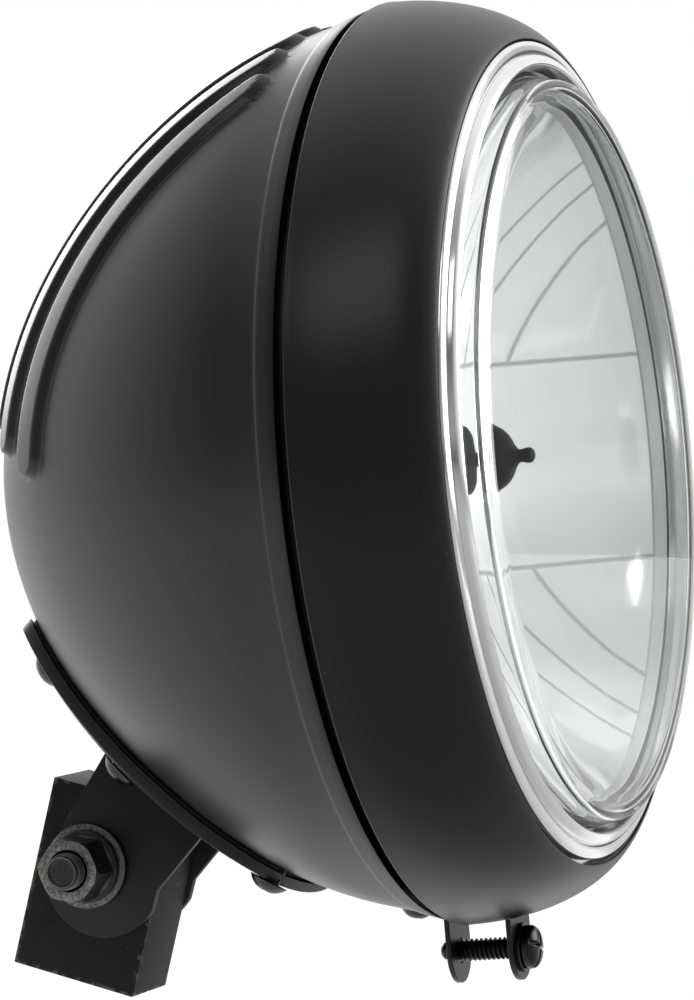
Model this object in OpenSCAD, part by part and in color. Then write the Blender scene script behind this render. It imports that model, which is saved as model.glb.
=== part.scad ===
// Round motorcycle headlight on a tilting clevis bracket and a mounting block.
// The origin is the mouth of the tapped hole under the block, +Z is up and the
// light leaves along -Y. Everything on the lamp is drawn about the lamp's own axis.

/* [Mounting block] */
// Width of the block, between the two ears
block_w = 20; // [14:0.5:28]
// Depth of the block, front to back
block_d = 29; // [24:0.5:36]
// Height of the block
block_h = 42.5; // [38:0.5:50]
// Lean of the block from the lamp's upright, degrees
block_lean = 18.4; // [0:0.2:28]
// Chamfer along the block's upper front edge
block_chamfer = 3.5; // [1:0.5:6]
// Radius of the tapped hole under the block
stem_r = 4.25; // [3:0.05:6]
// Depth of the tapped hole
stem_depth = 16; // [8:0.5:18]
// Height of the pivot bolt above the block's underside
pivot_h = 26; // [23:0.5:32]
// How far the pivot bolt sits behind the block's middle
pivot_back = 1.4; // [-3:0.2:4]

/* [Pivot bolt] */
// Radius of the pivot bolt
bolt_r = 4; // [3:0.25:5]
// Width across the flats of its head and nut
bolt_flats = 13; // [11:0.5:17]
// Height of the bolt's head
head_h = 5.3; // [4:0.1:8]
// Height of the nut
nut_h = 8.6; // [5:0.1:10]
// Length of bolt that stands out past the nut
bolt_tip = 3.6; // [1:0.2:8]
// Radius of the small washers
washer_r = 8; // [7.8:0.1:9]
// Radius of the large washers
big_washer_r = 9.4; // [9.2:0.1:13]
// Thickness of every washer
washer_t = 1.6; // [1:0.1:2.5]
// Turn of the nut's flats, degrees
nut_turn = 18; // [0:1:59]
// Radial clearance of the bolt in its holes
bolt_fit = 0.05; // [0.03:0.01:0.1]
// Side clearance between the ears, the block and the washers
side_fit = 0.1; // [0.05:0.01:0.3]

/* [Rim] */
// Largest radius of the rim
rim_r = 99.5; // [80:0.5:125]
// How far the rim rolls inwards to its front opening
rim_roll = 11.5; // [9:0.1:14]
// Width of the rim along the axis
rim_w = 30.3; // [26:0.1:36]
// Wall of the pressed rim
rim_t = 1.2; // [0.8:0.1:1.4]
// Clearance of the bowl's neck inside the rim
neck_fit = 0.4; // [0.3:0.1:0.8]

/* [Bowl] */
// Depth of the bowl behind the rim
shell_len = 95; // [85:0.5:112]
// How much smaller than the rim the bowl's radius is where its curve starts
bowl_inset = 2.9; // [2.4:0.1:5]
// Wall of the pressed bowl
shell_t = 1.2; // [0.8:0.1:1.6]
// How much smaller than the rim the radius of the bowl's front edge is
edge_inset = 1; // [0.3:0.1:1.4]
// Length over which the bowl flares out to its front edge
flare_l = 12; // [8:0.5:16]
// Open seam between the rim and the bowl's front edge
seam_gap = 1.2; // [0.6:0.1:2]
// Length of the neck that the rim slides over
neck_len = 7; // [4:0.5:9]

/* [Ribs] */
// Number of raised ribs along the bowl's upper half
rib_count = 9; // [3:2:11]
// Distance between neighbouring ribs at their front ends
rib_pitch = 12; // [11:0.5:14]
// Turn of the outermost rib away from the middle one, in degrees
rib_fan = 12; // [0:1:16]
// Width of a rib at its foot
rib_w = 9.5; // [6:0.5:11]
// Width of a rib along its crest
rib_crest_w = 5; // [2:0.5:5.5]
// Height of a rib
rib_h = 1.5; // [0.8:0.1:2.5]
// Distance from the bowl's front edge to where the ribs start
rib_start = 12; // [8:0.5:24]
// Height of the outermost rib's lower end above the lamp's axis
rib_low = 3; // [0:0.5:12]
// Rise of the lower ends towards the middle rib
rib_rise = 22; // [0:1:30]

/* [Rim screw] */
// Width of the two tabs
tab_w = 14; // [11:0.5:18]
// Thickness of the two tabs
tab_t = 1.2; // [0.8:0.1:2]
// Distance from the rim's rear edge forward to its tab
tab_back = 10.1; // [8:0.1:13]
// Distance from the rim's largest radius out to the rim screw
tab_out = 5.9; // [5.5:0.1:9]
// Width of the window in the rim that the tab is bent out of
window_w = 22; // [19:0.5:26]
// Length of that window along the axis
window_l = 4; // [2:0.2:6]
// Radius of the rim screw
rim_screw_r = 2.5; // [2:0.1:3]
// Length of the rim screw that stands out behind the tabs
rim_screw_tip = 3; // [1:0.2:5]
// Radius of the rim screw's head
rim_head_r = 4.7; // [4:0.1:5.2]
// Height of the rim screw's head
rim_head_h = 3.1; // [2:0.1:4]

/* [Light unit] */
// Open gap between the rim's front edge and the bright ring
bezel_gap = 1; // [0.5:0.1:1.6]
// Width of the bright ring's face
bezel_w = 4.6; // [4:0.1:8]
// How far the bright ring's inner edge stands out in front of the rim
bezel_out = 2.4; // [1.6:0.1:4]
// Depth of the bright ring behind the rim's front edge
bezel_back = 4.1; // [3.8:0.1:4.2]
// Clearance between the bright ring and the lens's flange
lens_fit = 0.8; // [0.4:0.1:1]
// Width of the lens's flange
lens_step = 2.4; // [1.6:0.1:4]
// How far the lens's edge stands out in front of the rim
lens_out = 5.9; // [4:0.1:8]
// Bulge of the lens beyond its edge
lens_bulge = 2.6; // [1:0.1:6]
// Thickness of the lens
lens_t = 3.2; // [2:0.1:4]
// Thickness of the seal behind the lens
seal_t = 2.4; // [2.2:0.1:3]
// How much smaller than the lens the reflector's mouth is
mouth_step = 2.2; // [1.4:0.1:5]
// Depth of the reflector's bowl
reflector_d = 67.4; // [60:0.2:74]
// Wall of the reflector
reflector_t = 1; // [0.8:0.1:1.6]
// Number of clips that hold the light unit in the rim
clip_count = 4; // [3:1:6]
// Width of a clip
clip_w = 14; // [8:1:20]

/* [Bulb] */
// Radius of the bulb's glass
bulb_r = 8.4; // [7:0.1:9.5]
// Length of the bulb in front of its flange
bulb_l = 61; // [54:0.5:62]
// Wall of the dark cap over the bulb's front
cap_t = 0.3; // [0.2:0.05:0.6]
// Length of the dark cap
cap_l = 16; // [11:0.5:20]
// Radius of the nib on the cap
nib_r = 1.7; // [1:0.1:2.5]
// Length of the nib
nib_l = 4.2; // [2:0.2:6]
// Radius of the bulb's metal base
base_r = 11; // [10:0.1:13]
// Length of the base on either side of the flange
base_l = 9; // [7:0.5:11]
// Radius of the reflector's hole for the bulb
bulb_hole_r = 19; // [16:0.5:21]
// How far the bulb's flange reaches past that hole
bulb_land = 2.5; // [1.5:0.1:4]
// Room between the bulb's flange and the collar round it
collar_fit = 2.5; // [1:0.1:4]
// Length of the collar behind the reflector
collar_l = 3.4; // [3:0.1:6]

/* [Saddle] */
// Half the width of the saddle at its middle
saddle_half_w = 40; // [36:0.5:46]
// Length of the saddle along the bowl
saddle_l = 89; // [78:1:96]
// Radius of the saddle's curved sides
saddle_side_r = 110; // [90:1:150]
// How far down the bowl from the pivot the saddle's middle sits
saddle_shift = 3; // [-4:0.5:6]
// Thickness of the saddle
saddle_t = 2.4; // [2:0.1:3]
// Thickness of the rubber pad under the saddle
pad_t = 0.8; // [0.6:0.1:1.2]
// Clearance either side of the pad
pad_fit = 0.2; // [0.15:0.01:0.3]
// Radius of the domed screws
saddle_screw_r = 2.5; // [2:0.1:3]
// Radius of their heads
saddle_head_r = 4.4; // [4:0.1:5]
// Height of their heads
saddle_head_h = 2.4; // [1.5:0.1:3]
// Width across the flats of their nuts
saddle_nut_flats = 8; // [7:0.5:9]
// Height of their nuts
saddle_nut_h = 4; // [3:0.1:5]

/* [Ears and pivot] */
// Place of the pivot along the bowl's outline, 0 at the rim and 1 at the rear end
pivot_place = 0.444; // [0.4:0.002:0.48]
// Clearance between the swinging block and the saddle
swing_fit = 1.1; // [0.8:0.1:4]
// Thickness of an ear
ear_t = 2; // [1.5:0.1:3]
// Radius of an ear's rounded end
ear_end_r = 13.6; // [13.5:0.1:16]
// Distance from the pivot to an ear's front edge
ear_front = 15.5; // [14:0.1:19]
// Distance from the pivot to an ear's rear edge at the saddle
ear_back = 14.3; // [12:0.1:19]

/* [Cable entry] */
// Radius of the cable's way through the grommet
cable_r = 3.5; // [2.5:0.1:4.5]
// Radius of the hole in the bowl
entry_r = 6.5; // [6:0.1:8]
// How far the grommet's lips reach past that hole
grommet_land = 2; // [1.6:0.1:3]

/* [Hidden] */
$fn = 96;

// The bowl's outline: fullness, taper and tail of its curve
bowl_full = 0.98;
bowl_taper = -0.742;
bowl_tail = 0.211;
bowl_steps = 18;
rim_full = 1.5625;
rim_steps = 12;
sweep_step = 0.005;

// The bowl's outline, from 0 at its widest to 1 at its rear end
shell_r = rim_r - bowl_inset;
function bowl_k(s) = 1 + bowl_full * s + bowl_taper * s * s + bowl_tail * s * s * s;
function bowl_s(t) = 1 - (1 - t) * (1 - t);
function bowl_pt(t) = [shell_r * (1 - t) * sqrt(bowl_k(bowl_s(t))), rim_w + shell_len * bowl_s(t)];
function bowl_run(t) = bowl_pt(t + sweep_step) - bowl_pt(t - sweep_step);
function bowl_normal(t) = let (d = bowl_run(t) / norm(bowl_run(t))) [d[1], -d[0]];
function bowl_off(t, h) = bowl_pt(t) + h * bowl_normal(t);
function bowl_at(y) = 1 - sqrt(1 - (y - rim_w) / shell_len);
function spread(a, b, n) = [for (i = [0:n]) a + (b - a) * i / n];
function flip(v) = [for (i = [len(v) - 1:-1:0]) v[i]];

// The rim's outline, from 0 at its front edge to 1 at the seam
rim_open_r = rim_r - rim_roll;
function rim_pt(q) = [rim_open_r + rim_roll * sin(90 * q), rim_w * pow(q, rim_full)];
function rim_run(q) = rim_pt(q + sweep_step) - rim_pt(max(0, q - sweep_step));
function rim_normal(q) = let (d = rim_run(q) / norm(rim_run(q))) [d[1], -d[0]];
function rim_off(q, h) = rim_pt(q) + h * rim_normal(q);
function rim_at(y) = pow(y / rim_w, 1 / rim_full);

// The bowl's flare, from its front edge back to its plain outline
edge_r = rim_r - edge_inset;
edge_y = rim_w + seam_gap;
edge_round = 0.3;
neck_r = rim_r - rim_t - neck_fit;
flare_end = edge_y + flare_l;
flare_steps = 4;
flare_rise = edge_r - bowl_pt(bowl_at(edge_y))[0];
function flare_pt(y) = [bowl_pt(bowl_at(y))[0] + flare_rise * pow((flare_end - y) / flare_l, 2), y];

pole_y = rim_w + shell_len;
t_edge = bowl_at(edge_y);
t_flare = bowl_at(flare_end);
t_entry = 1 - entry_r / (shell_r * sqrt(bowl_k(1)));
rib_foot = 0.5;
rib_step = 1.6;
rib_mid_h = rib_h * 0.55;
rib_front = edge_y + rib_start;

tab_y = rim_w - tab_back;
tab_drop = rim_r + tab_out;
rear_tab_in = 2.5;
rear_tab_y = edge_y + rear_tab_in;
rim_washer_t = 0.8;
rim_washer_over = 0.6;
seat_gap = 0.2;
rim_head_y = tab_y - rim_washer_t - seat_gap;
slot_w = 1.1;
slot_depth = 1.6;

bezel_r = rim_open_r - bezel_gap;
bezel_in_r = bezel_r - bezel_w;
flange_fit = 1.2;
lip_t = 1;
flange_r = rim_off(rim_at(bezel_back - lip_t), -rim_t)[0] - flange_fit;
lens_flange_r = bezel_in_r - lens_fit;
lens_r = lens_flange_r - lens_step;
lens_back = 1.8;
lens_edge = 1.3;
flange_t = 1.2;
stack_fit = 0.2;
seal_y = lens_back + stack_fit / 2;
plate_y = max(seal_y + seal_t, bezel_back) + stack_fit;
plate_r = flange_r - 1;
reflector_r = lens_r - mouth_step;
reflector_4f = reflector_r * reflector_r / reflector_d;
reflector_pole = plate_y + reflector_d;
reflector_steps = 14;
seat_y = reflector_pole + reflector_t - bulb_hole_r * bulb_hole_r / reflector_4f;
clip_y = plate_y + flange_t + stack_fit;
clip_t = 1.2;
clip_leg = 6;
clip_fit = 0.6;
clip_in_r = reflector_r + 6;
clip_out_r = rim_off(rim_at(clip_y), -rim_t)[0] - clip_fit;

bulb_y = seat_y + stack_fit;
bulb_plate_t = 1.2;
bulb_flange_r = bulb_hole_r + bulb_land;
base_out_r = base_r + 1;
glass_end = bulb_y - base_l;
cap_fit = 0.1;
cap_r = bulb_r + cap_fit + cap_t;
cap_y = bulb_y - bulb_l;
blade_w = 8;
blade_t = 0.8;
blade_l = 9;
blade_place = 6;
spring_wire = 0.8;
collar_r = bulb_flange_r + collar_fit;
collar_t = 1;
collar_out_r = collar_r + collar_t;
collar_y = seat_y - 3.2;
collar_end = seat_y + collar_l;
boot_t = 2.4;
boot_fit = 0.2;
boot_grip = 3;
boot_slope = 7;
boot_neck = 4;
boot_neck_y = collar_end + boot_slope;
boot_end = boot_neck_y + boot_neck;

grommet_r = entry_r + grommet_land;
grommet_fit = 0.15;
grommet_lip = 1.4;
grommet_groove = shell_t + 0.7;

pad_in = pad_fit;
pad_out = pad_in + pad_t;
saddle_in = pad_out + pad_fit;
saddle_out = saddle_in + saddle_t;
saddle_corner_r = 53;
saddle_depth = 75;
saddle_top = 10;
pad_inset = 1;
slit_w = 1.4;
slit_l = 3;
slit_place = -3.7;
screw_fit = 0.25;
nut_seat = shell_t + 0.4;
// Rows of saddle screws, each a place along the bowl's outline and degrees round from the bottom
saddle_rows = [[0.655, 25], [0.445, 24], [0.217, 14]];
body_screw_place = 0.069;
body_screw_r = 2.5;
body_head_r = 4.6;
body_head_h = 3.6;
body_nut_h = 4;
over = 1;

// The block's farthest corner from the pivot sets how far the pivot stands off the bowl
block_up = block_h - pivot_h;
block_ahead = block_d / 2 + pivot_back;
block_behind = block_d / 2 - pivot_back;
block_swing = max(
    norm([block_behind, block_up]),
    norm([block_ahead - block_chamfer, block_up]),
    norm([block_ahead, block_up - block_chamfer]));
pivot_off = saddle_out + swing_fit + block_swing;
pivot_normal = bowl_normal(pivot_place);
drop = bowl_off(pivot_place, pivot_off)[0];
reach = bowl_off(pivot_place, pivot_off)[1];
seat_turn = 180 + atan2(pivot_normal[1], pivot_normal[0]);
pivot_y = pivot_back * cos(block_lean) - pivot_h * sin(block_lean);
pivot_z = pivot_back * sin(block_lean) + pivot_h * cos(block_lean);
lamp_y = pivot_y - reach;
lamp_z = pivot_z + drop;

// Points of an ear: how far in towards the bowl and how far forward down the bowl from the pivot
ear_end = [0.5, 4];
ear_heel = ear_end + ear_end_r * [0.15, 0.988];
ear_dip = 0.03;
ear_bend = [6.7, ear_front];
ear_root = pivot_off + 4;
ear_x = block_w / 2 + side_fit;
ear_out_x = ear_x + ear_t;
washer_x = ear_out_x + side_fit;
nut_x = washer_x + 2 * washer_t;
tip_x = nut_x + nut_h + bolt_tip;
hex_r = bolt_flats / 2 / cos(30);

// Point where a line from p touches the circle of radius r about c, on the side of lower values
function touch(p, c, r) =
    let (d = c - p, l = norm(d), b = atan2(d[1], d[0]) + asin(r / l))
    p + sqrt(l * l - r * r) * [cos(b), sin(b)];

module at_lamp() {
    translate([0, lamp_y, lamp_z])
        children();
}

// Turns a profile of radius and distance behind the rim's front edge
module turned() {
    rotate([-90, 0, 0])
        rotate_extrude()
            children();
}

// Local +Z is the bowl's outward normal, a stands for degrees round from the bottom
module on_bowl(t, a) {
    p = bowl_pt(t);
    n = bowl_normal(t);
    rotate([0, a, 0])
        translate([0, p[1], -p[0]])
            rotate([180 + atan2(n[1], n[0]), 0, 0])
                children();
}

module at_saddle_screws() {
    for (row = saddle_rows, side = [-1, 1])
        on_bowl(row[0], side * row[1])
            children();
}

// Band of the bowl between two distances off its outer face
module bowl_band(t0, t1, low, high) {
    turned()
        polygon(concat(
            [for (t = spread(t0, t1, bowl_steps)) bowl_off(t, high)],
            flip([for (t = spread(t0, t1, bowl_steps)) bowl_off(t, low)])));
}

// Ring from radius r0 to r1 that starts y0 behind the rim's front edge
module ring(r0, r1, y0, w) {
    turned()
        translate([r0, y0])
            square([r1 - r0, w]);
}

module domed_head(r, h) {
    ball_r = (r * r + h * h) / (2 * h);
    rotate_extrude()
        intersection() {
            translate([0, h - ball_r])
                circle(ball_r);
            square([r, h]);
        }
}

module hex_prism(flats, h, hole) {
    difference() {
        cylinder(h = h, r = flats / 2 / cos(30), $fn = 6);
        translate([0, 0, -over])
            cylinder(h = h + 2 * over, r = hole);
    }
}

module washer(r, h, hole) {
    difference() {
        cylinder(h = h, r = r);
        translate([0, 0, -over])
            cylinder(h = h + 2 * over, r = hole);
    }
}

module rib_bars(w, y0, lift) {
    for (i = [0:rib_count - 1]) {
        side = 2 * i / (rib_count - 1) - 1;
        x = side * rib_pitch * (rib_count - 1) / 2;
        translate([x, y0, rib_low + rib_rise * (1 - abs(side)) + lift])
            rotate([0, 0, -side * rib_fan])
                translate([-w / 2, 0, 0])
                    cube([w, pole_y, shell_r + rib_h]);
    }
}

// Flat tab below the lamp, with a round end and one hole
module tab(y0, top, hole) {
    difference() {
        translate([0, y0 + tab_t, 0])
            rotate([90, 0, 0])
                linear_extrude(tab_t)
                    union() {
                        translate([-tab_w / 2, -tab_drop])
                            square([tab_w, tab_drop - top]);
                        translate([0, -tab_drop])
                            circle(tab_w / 2);
                    }
        translate([0, y0 - over, -tab_drop])
            rotate([-90, 0, 0])
                cylinder(h = tab_t + 2 * over, r = hole);
    }
}

module through_bowl(r) {
    translate([0, 0, -2 * shell_t])
        cylinder(h = 2 * shell_t + saddle_out + over, r = r);
}

module shell() {
    color("#1d1e20")
        at_lamp()
            difference() {
                union() {
                    turned()
                        polygon(concat(
                            [for (y = spread(edge_y + edge_round, flare_end, flare_steps)) flare_pt(y)],
                            [for (t = spread(t_flare, t_entry, bowl_steps)) if (t > t_flare) bowl_off(t, 0)],
                            flip([for (t = spread(t_flare, t_entry, bowl_steps)) bowl_off(t, -shell_t)]),
                            [flare_pt(edge_y + flare_l / 2) - [shell_t, 0],
                             flare_pt(edge_y + 2 * shell_t) - [shell_t, 0],
                             [neck_r - shell_t, edge_y + shell_t],
                             [neck_r - shell_t, edge_y - neck_len],
                             [neck_r, edge_y - neck_len],
                             [neck_r, edge_y],
                             [edge_r - edge_round, edge_y]]));
                    intersection() {
                        bowl_band(t_edge, t_entry, -rib_foot, rib_mid_h);
                        rib_bars(rib_w, rib_front, 0);
                    }
                    intersection() {
                        bowl_band(t_edge, t_entry, -rib_foot, rib_h);
                        rib_bars(rib_crest_w, rib_front + rib_step, rib_step);
                    }
                    tab(rear_tab_y, neck_r - shell_t + edge_round, rim_screw_r);
                }
                at_saddle_screws()
                    through_bowl(saddle_screw_r + screw_fit);
                on_bowl(body_screw_place, 0)
                    through_bowl(body_screw_r + screw_fit);
            }
}

module rim() {
    color("#151618")
        at_lamp()
            union() {
                difference() {
                    turned()
                        polygon(concat(
                            [for (q = spread(0, 1, rim_steps)) rim_off(q, 0)],
                            flip([for (q = spread(0, 1, rim_steps)) rim_off(q, -rim_t)])));
                    translate([-window_w / 2, tab_y - window_l, -rim_r - over])
                        cube([window_w, window_l, rim_r - rim_open_r + 2 * over]);
                }
                tab(tab_y, rim_off(rim_at(tab_y), 0)[0] - rim_t / 2, rim_screw_r + screw_fit);
            }
}

module rim_screw() {
    color("#2b2c2e")
        at_lamp()
            translate([0, rim_head_y, -tab_drop])
                rotate([-90, 0, 0])
                    difference() {
                        union() {
                            cylinder(
                                h = rear_tab_y + tab_t + rim_screw_tip - rim_head_y,
                                r = rim_screw_r - bolt_fit);
                            mirror([0, 0, 1])
                                domed_head(rim_head_r, rim_head_h);
                        }
                        for (turn = [0, 90])
                            rotate([0, 0, turn])
                                translate([-rim_head_r / 2, -slot_w / 2, -rim_head_h - over])
                                    cube([rim_head_r, slot_w, slot_depth + over]);
                    }
}

module rim_screw_washer() {
    color("#2b2c2e")
        at_lamp()
            translate([0, rim_head_y + seat_gap / 2, -tab_drop])
                rotate([-90, 0, 0])
                    washer(rim_head_r + rim_washer_over, rim_washer_t, rim_screw_r + screw_fit);
}

module bezel() {
    color("#d9dadc")
        at_lamp()
            turned()
                polygon([
                    [bezel_r, 0.7],
                    [bezel_r - 0.5, 0.1],
                    [bezel_r - 1.7, -0.4],
                    [bezel_r - 3.2, -0.7],
                    [bezel_r - 3.4, -1.2],
                    [bezel_in_r + 0.6, -bezel_out + 0.3],
                    [bezel_in_r + 0.3, -bezel_out],
                    [bezel_in_r, -bezel_out + 0.3],
                    [bezel_in_r, bezel_back],
                    [flange_r, bezel_back],
                    [flange_r, bezel_back - lip_t],
                    [bezel_r, bezel_back - lip_t]]);
}

module lens() {
    dome_r = (lens_r * lens_r + lens_bulge * lens_bulge) / (2 * lens_bulge);
    color("#eef3f6", 0.35)
        at_lamp()
            turned()
                polygon(concat(
                    [for (x = spread(0, lens_r - lens_edge, 10))
                        [x, x * x / (2 * dome_r) - lens_out - lens_bulge]],
                    [[lens_r - lens_edge * 0.4, -lens_out + lens_edge * 0.4],
                     [lens_r, -lens_out + lens_edge],
                     [lens_r, lens_back - flange_t],
                     [lens_flange_r, lens_back - flange_t],
                     [lens_flange_r, lens_back],
                     [lens_r - lens_t, lens_back],
                     [lens_r - lens_t, lens_t - lens_out]],
                    [for (x = spread(lens_r - lens_t - lens_edge, 0, 10))
                        [x, x * x / (2 * dome_r) - lens_out - lens_bulge + lens_t]]));
}

module lens_seal() {
    color("#202020")
        at_lamp()
            ring(lens_r - lens_t, lens_flange_r, seal_y, seal_t);
}

// Pressed bowl with a flat mouth plate and a collar round the bulb's hole
module reflector() {
    color("#e8eaec")
        at_lamp()
            union() {
                turned()
                    polygon(concat(
                        [[plate_r, plate_y], [plate_r, plate_y + flange_t]],
                        [for (x = spread(reflector_r, bulb_hole_r, reflector_steps))
                            [x + reflector_t, reflector_pole + reflector_t - x * x / reflector_4f]],
                        [for (x = spread(bulb_hole_r, reflector_r, reflector_steps))
                            [x, reflector_pole - x * x / reflector_4f]]));
                ring(collar_r, collar_out_r, collar_y, collar_end - collar_y);
            }
}

module unit_clips() {
    color("#b9bcc0")
        at_lamp()
            for (i = [0:clip_count - 1])
                rotate([0, 45 + 360 / clip_count * i, 0])
                    intersection() {
                        union() {
                            ring(clip_in_r, clip_out_r, clip_y, clip_t);
                            ring(clip_in_r, clip_in_r + clip_t, clip_y, clip_leg);
                        }
                        translate([-clip_w / 2, 0, 0])
                            cube([clip_w, rim_w, rim_r]);
                    }
}

// Round-nosed rod about the lamp's axis, as a half profile
module nosed(r, front, end) {
    translate([0, front + r])
        square([r, end - front - r]);
    intersection() {
        translate([0, front + r])
            circle(r);
        translate([0, front])
            square([r, r + 0.01]);
    }
}

module bulb_glass() {
    color("#e6edf0", 0.4)
        at_lamp()
            turned()
                nosed(bulb_r, cap_y + cap_r - bulb_r, glass_end);
}

module bulb_cap() {
    color("#2a2b2d")
        at_lamp()
            turned()
                difference() {
                    union() {
                        nosed(cap_r, cap_y, cap_y + cap_l);
                        translate([0, cap_y - nib_l])
                            square([nib_r, nib_l + cap_t]);
                    }
                    translate([0, over])
                        nosed(bulb_r + cap_fit, cap_y + cap_t - over, cap_y + cap_l);
                }
}

module bulb_base() {
    color("#b4b7ba")
        at_lamp()
            union() {
                ring(0, base_r, glass_end, base_l);
                ring(0, bulb_flange_r, bulb_y, bulb_plate_t);
                ring(0, base_out_r, bulb_y, base_l);
            }
}

module bulb_terminals() {
    color("#c8b273")
        at_lamp()
            for (turn = [-90, 0, 90])
                rotate([0, turn, 0])
                    translate([-blade_w / 2, bulb_y + base_l, blade_place - blade_t / 2])
                        cube([blade_w, blade_l, blade_t]);
}

module bulb_spring() {
    color("#c4c7ca")
        at_lamp()
            turned()
                translate([bulb_flange_r - 2 * spring_wire, bulb_y + bulb_plate_t + spring_wire + stack_fit])
                    circle(spring_wire, $fn = 24);
}

// Rubber cap that grips the reflector's collar and the bulb's base
module bulb_boot() {
    lip_r = collar_out_r + boot_fit;
    neck_in_r = base_out_r + boot_fit;
    bend_y = collar_end + stack_fit;
    color("#1a1a1a")
        at_lamp()
            turned()
                polygon([
                    [lip_r, collar_end - boot_grip],
                    [lip_r + boot_t, collar_end - boot_grip],
                    [lip_r + boot_t, bend_y + boot_t / 2],
                    [neck_in_r + boot_t, boot_neck_y],
                    [neck_in_r + boot_t, boot_end],
                    [neck_in_r, boot_end],
                    [neck_in_r, boot_neck_y - boot_t / 2],
                    [lip_r, bend_y]]);
}

module cable_grommet() {
    groove_y = pole_y - grommet_groove;
    neck_start = groove_y - grommet_lip;
    color("#1a1a1a")
        at_lamp()
            union() {
                ring(cable_r, grommet_r, groove_y - 2 * grommet_lip, 2 * grommet_lip);
                ring(cable_r, entry_r - grommet_fit, neck_start, pole_y + grommet_lip - neck_start);
                ring(cable_r, grommet_r, pole_y - grommet_fit, grommet_lip + grommet_fit);
            }
}

module body_screw() {
    color("#202123")
        at_lamp()
            on_bowl(body_screw_place, 0)
                union() {
                    translate([0, 0, seat_gap])
                        domed_head(body_head_r, body_head_h);
                    translate([0, 0, -nut_seat - body_nut_h - over])
                        cylinder(h = nut_seat + body_nut_h + 2 * over, r = body_screw_r);
                }
}

module body_nut() {
    color("#9b9ea2")
        at_lamp()
            on_bowl(body_screw_place, 0)
                translate([0, 0, -nut_seat - body_nut_h])
                    hex_prism(saddle_nut_flats, body_nut_h, body_screw_r + bolt_fit);
}

module saddle_outline(inset) {
    intersection() {
        translate([saddle_half_w - inset - saddle_side_r, 0])
            circle(saddle_side_r);
        translate([saddle_side_r - saddle_half_w + inset, 0])
            circle(saddle_side_r);
        circle(saddle_corner_r - inset);
        square([2 * saddle_half_w, saddle_l - 2 * inset], center = true);
    }
}

// Local +Z is the bowl's outward normal at the pivot, local Y runs forward down the bowl
module at_ear_pivot() {
    translate([0, reach, -drop])
        rotate([seat_turn, 0, 0])
            children();
}

module saddle_prism(inset) {
    at_ear_pivot()
        translate([0, saddle_shift, -saddle_depth])
            linear_extrude(saddle_depth - saddle_top)
                saddle_outline(inset);
}

module saddle_pad() {
    color("#191919")
        at_lamp()
            difference() {
                intersection() {
                    bowl_band(t_edge, t_entry, pad_in, pad_out);
                    saddle_prism(pad_inset);
                }
                at_saddle_screws()
                    through_bowl(saddle_screw_r + screw_fit);
            }
}

module saddle_slits() {
    at_ear_pivot()
        for (side = [-1, 1])
            translate([side * saddle_half_w - slit_l, slit_place, -saddle_depth])
                cube([2 * slit_l, slit_w, saddle_depth - saddle_top]);
}

module ear_outline() {
    union() {
        translate(ear_end)
            circle(ear_end_r);
        polygon([
            [ear_root, -ear_back],
            touch([ear_root, -ear_back], ear_end, ear_end_r - ear_dip),
            ear_end,
            ear_heel,
            ear_bend,
            [ear_root, ear_front]]);
    }
}

// The two ears run up to the middle of the saddle's thickness
module ears() {
    difference() {
        at_ear_pivot()
            for (x = [-ear_out_x, ear_x])
                translate([x, 0, 0])
                    rotate([0, 90, 0])
                        linear_extrude(ear_t)
                            ear_outline();
        turned()
            polygon(concat([[0, edge_y]],
                [for (t = spread(t_edge, 1, bowl_steps)) bowl_off(t, saddle_in + saddle_t / 2)]));
    }
}

module saddle_bracket() {
    color("#232427")
        at_lamp()
            difference() {
                union() {
                    difference() {
                        intersection() {
                            bowl_band(t_edge, t_entry, saddle_in, saddle_out);
                            saddle_prism(0);
                        }
                        saddle_slits();
                    }
                    ears();
                }
                at_saddle_screws()
                    through_bowl(saddle_screw_r + screw_fit);
                translate([-ear_out_x - over, reach, -drop])
                    rotate([0, 90, 0])
                        cylinder(h = 2 * (ear_out_x + over), r = bolt_r + bolt_fit);
            }
}

module saddle_screws() {
    foot = nut_seat + saddle_nut_h + over;
    color("#1b1c1e")
        at_lamp()
            at_saddle_screws()
                union() {
                    translate([0, 0, saddle_out + seat_gap])
                        domed_head(saddle_head_r, saddle_head_h);
                    translate([0, 0, -foot])
                        cylinder(h = foot + saddle_out + over, r = saddle_screw_r);
                }
}

module saddle_nuts() {
    color("#9b9ea2")
        at_lamp()
            at_saddle_screws()
                translate([0, 0, -nut_seat - saddle_nut_h])
                    hex_prism(saddle_nut_flats, saddle_nut_h, saddle_screw_r + bolt_fit);
}

module mounting_block() {
    color("#3a3b3e")
        rotate([block_lean, 0, 0])
            difference() {
                translate([-block_w / 2, 0, 0])
                    rotate([90, 0, 90])
                        linear_extrude(block_w)
                            polygon([
                                [-block_d / 2, 0],
                                [block_d / 2, 0],
                                [block_d / 2, block_h],
                                [block_chamfer - block_d / 2, block_h],
                                [-block_d / 2, block_h - block_chamfer]]);
                translate([0, 0, -over])
                    cylinder(h = stem_depth + over, r = stem_r);
                translate([-block_w, pivot_back, pivot_h])
                    rotate([0, 90, 0])
                        cylinder(h = 2 * block_w, r = bolt_r + bolt_fit);
            }
}

// Local +Z runs outwards along the pivot, on the nut's side for -1 and on the head's for 1
module at_pivot(side, x) {
    translate([side * x, pivot_y, pivot_z])
        rotate([0, side * 90, 0])
            children();
}

module pivot_bolt() {
    color("#8f9195")
        union() {
            at_pivot(1, -tip_x)
                cylinder(h = tip_x + nut_x + over, r = bolt_r);
            at_pivot(1, nut_x)
                cylinder(h = head_h, r = hex_r, $fn = 6);
        }
}

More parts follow.
